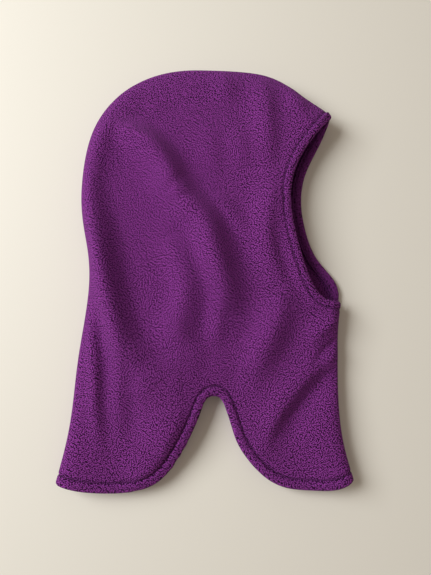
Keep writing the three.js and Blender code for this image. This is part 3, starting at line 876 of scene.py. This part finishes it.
def fleece(name, deep, high):
    """Matt napped fleece: painted shade between its pebbles, painted light on them, with a soft
    sheen.

    The pebbles are cells on the cloth laid flat, longer along the slant of the pile. The colour
    has painted shade along the stitch grooves, and is even in tone where the pile is worn flat;
    the facings and the inner face are also darker there, as painted shade of the hood's inside.
    """
    material, nodes, links, shader = new_material(name)
    place = nodes.new("ShaderNodeAttribute")
    place.attribute_name = "weave"
    turned = nodes.new("ShaderNodeMapping")
    turned.vector_type = "TEXTURE"
    turned.inputs["Rotation"].default_value = (0, 0, math.radians(56))
    turned.inputs["Scale"].default_value = (1.35, 1, 1)
    links.new(place.outputs["Vector"], turned.inputs["Vector"])
    tufts = nodes.new("ShaderNodeTexVoronoi")
    tufts.voronoi_dimensions = "2D"
    tufts.inputs["Scale"].default_value = 1020
    tufts.inputs["Randomness"].default_value = 0.75
    links.new(turned.outputs["Vector"], tufts.inputs["Vector"])
    # painted shade in the hollows between the pebbles: darker towards the edges of each cell
    hollow = nodes.new("ShaderNodeMath")
    hollow.operation = "MULTIPLY_ADD"
    hollow.inputs[1].default_value = -2.6
    hollow.inputs[2].default_value = 1.5
    links.new(tufts.outputs["Distance"], hollow.inputs[0])
    nap = nodes.new("ShaderNodeAttribute")
    nap.attribute_name = "nap"
    grain = nodes.new("ShaderNodeMath")
    grain.operation = "MULTIPLY_ADD"
    grain.inputs[1].default_value = 0.06
    links.new(nap.outputs["Fac"], grain.inputs[0])
    links.new(hollow.outputs["Value"], grain.inputs[2])
    pile = nodes.new("ShaderNodeAttribute")
    pile.attribute_name = "pile"
    # thin pile pulls the grain towards 0.42, below its mean: even in tone, and darker as painted
    # shade on the facings and the inner face
    level = nodes.new("ShaderNodeMapRange")
    level.inputs["From Min"].default_value = 0
    level.inputs["From Max"].default_value = 1
    level.inputs["To Min"].default_value = 0.42
    links.new(pile.outputs["Fac"], level.inputs["Value"])
    links.new(grain.outputs["Value"], level.inputs["To Max"])
    # painted shade and light of the pebbles: the ramp runs from shade in their hollows to light on
    # their tops
    ramp = nodes.new("ShaderNodeValToRGB")
    ramp.color_ramp.elements[0].position = 0.2
    ramp.color_ramp.elements[0].color = (*deep, 1)
    ramp.color_ramp.elements[1].position = 0.8
    ramp.color_ramp.elements[1].color = (*high, 1)
    links.new(level.outputs["Result"], ramp.inputs["Fac"])
    links.new(ramp.outputs["Color"], shader.inputs["Base Color"])
    bump = nodes.new("ShaderNodeBump")
    bump.inputs["Strength"].default_value = 0.7
    bump.inputs["Distance"].default_value = 0.0004
    links.new(level.outputs["Result"], bump.inputs["Height"])
    links.new(bump.outputs["Normal"], shader.inputs["Normal"])
    shader.inputs["Roughness"].default_value = 1
    shader.inputs["Specular IOR Level"].default_value = 0.05
    shader.inputs["Sheen Weight"].default_value = 0.2
    shader.inputs["Sheen Roughness"].default_value = 0.5
    shader.inputs["Sheen Tint"].default_value = (0.60, 0.22, 0.72, 1)
    return material


def thread(name, colour):
    """Dull spun thread, with a fine twist across it."""
    material, nodes, links, shader = new_material(name)
    place = nodes.new("ShaderNodeTexCoord")
    twist = nodes.new("ShaderNodeTexNoise")
    twist.inputs["Scale"].default_value = 2500
    links.new(place.outputs["Object"], twist.inputs["Vector"])
    ramp = nodes.new("ShaderNodeValToRGB")
    ramp.color_ramp.elements[0].position = 0.3
    ramp.color_ramp.elements[0].color = (*[0.6 * c for c in colour], 1)
    ramp.color_ramp.elements[1].position = 0.7
    ramp.color_ramp.elements[1].color = (*colour, 1)
    links.new(twist.outputs["Fac"], ramp.inputs["Fac"])
    links.new(ramp.outputs["Color"], shader.inputs["Base Color"])
    shader.inputs["Roughness"].default_value = 0.7
    shader.inputs["Specular IOR Level"].default_value = 0.2
    return material


# ends of the pebble ramp: the fleece's purple with painted shade in the hollows and painted light
# on the tops
PEBBLE_SHADE_PURPLE = (0.012, 0.0020, 0.013)
PEBBLE_LIGHT_PURPLE = (0.328, 0.054, 0.368)
THREAD_PURPLE = (0.09, 0.016, 0.10)


def dress(piece, node, slot, material):
    """Gives a piece its material, and stands it in for its node of the assembly."""
    piece.data.materials.append(material)
    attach(piece, "root")
    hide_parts(node)


def make_balaclava():
    """Both panels and all their threads."""
    upper = build_panel("right_side_fleece", UPPER_FACE_EDGE, BOTTOM_EDGE, 1)
    lower = build_panel("left_side_fleece", LOWER_FACE_EDGE, lower_bottom_edge(), -1)
    for panel, node, slot in (
        (upper, "right_side_panel", "fleece_right"),
        (lower, "left_side_panel", "fleece_left"),
    ):
        dress(panel["piece"], node, slot, fleece(slot, PEBBLE_SHADE_PURPLE, PEBBLE_LIGHT_PURPLE))
    names = ("overlock_thread", "seam_thread", "hem_thread")
    slots = {slot: thread(slot, THREAD_PURPLE) for slot in names}
    for node, slot, parts in [*hem_threads([upper, lower]), *seam_threads(upper)]:
        dress(thread_piece(node + "_stitches", parts), node, slot, slots[slot])


# ---- Floor, light and camera ----
def set_stage():
    """A pale level floor under the balaclava."""
    size = 1.5
    corners = np.array([(-size, -size), (size, -size), (size, size), (-size, size)])
    points = np.column_stack([corners / METRE, np.full(4, -FLOOR_DROP)])
    floor = add_object("floor", build_mesh("floor", points, [np.array([[0, 1, 2, 3]])]))
    material, nodes, links, shader = new_material("pale_floor")
    shader.inputs["Base Color"].default_value = (0.78, 0.74, 0.66, 1)
    shader.inputs["Roughness"].default_value = 0.7
    floor.data.materials.append(material)


def area_light(name, place, target, size, power, colour):
    """A square soft light at a place, turned to a target."""
    data = bpy.data.lights.new(name, "AREA")
    data.size = size
    data.energy = power
    data.color = colour
    light = bpy.data.objects.new(name, data)
    bpy.context.scene.collection.objects.link(light)
    light.location = place
    direction = np.array(target) - np.array(place)
    pitch = math.atan2(math.hypot(direction[0], direction[1]), -direction[2])
    turn = math.atan2(direction[1], direction[0]) - math.pi / 2
    light.rotation_euler = (pitch, 0, turn)


def set_light():
    """A low soft window to the left, and a pale warm room all round."""
    area_light("window", (-1.15, 0.34, 0.98), (0, 0, 0), 0.95, 29, (0.96, 0.99, 1.0))
    world = bpy.data.worlds.new("room")
    bpy.context.scene.world = world
    world.use_nodes = True
    world.node_tree.nodes["Background"].inputs["Color"].default_value = (1.0, 0.87, 0.74, 1)
    world.node_tree.nodes["Background"].inputs["Strength"].default_value = 0.30
    bpy.context.scene.view_settings.view_transform = "Standard"


def set_camera():
    """A camera almost straight above, leaning back a little from the crown."""
    tilt = math.radians(7.908)
    distance = 0.397
    target = (0.00875, -0.0149, 0.0)
    data = bpy.data.cameras.new("camera")
    data.lens = 28
    data.sensor_width = 36
    camera = bpy.data.objects.new("camera", data)
    bpy.context.scene.collection.objects.link(camera)
    camera.location = (target[0], target[1] - distance * math.sin(tilt), distance * math.cos(tilt))
    camera.rotation_euler = (tilt, 0, 0)
    bpy.context.scene.camera = camera


make_balaclava()
set_stage()
set_light()
set_camera()
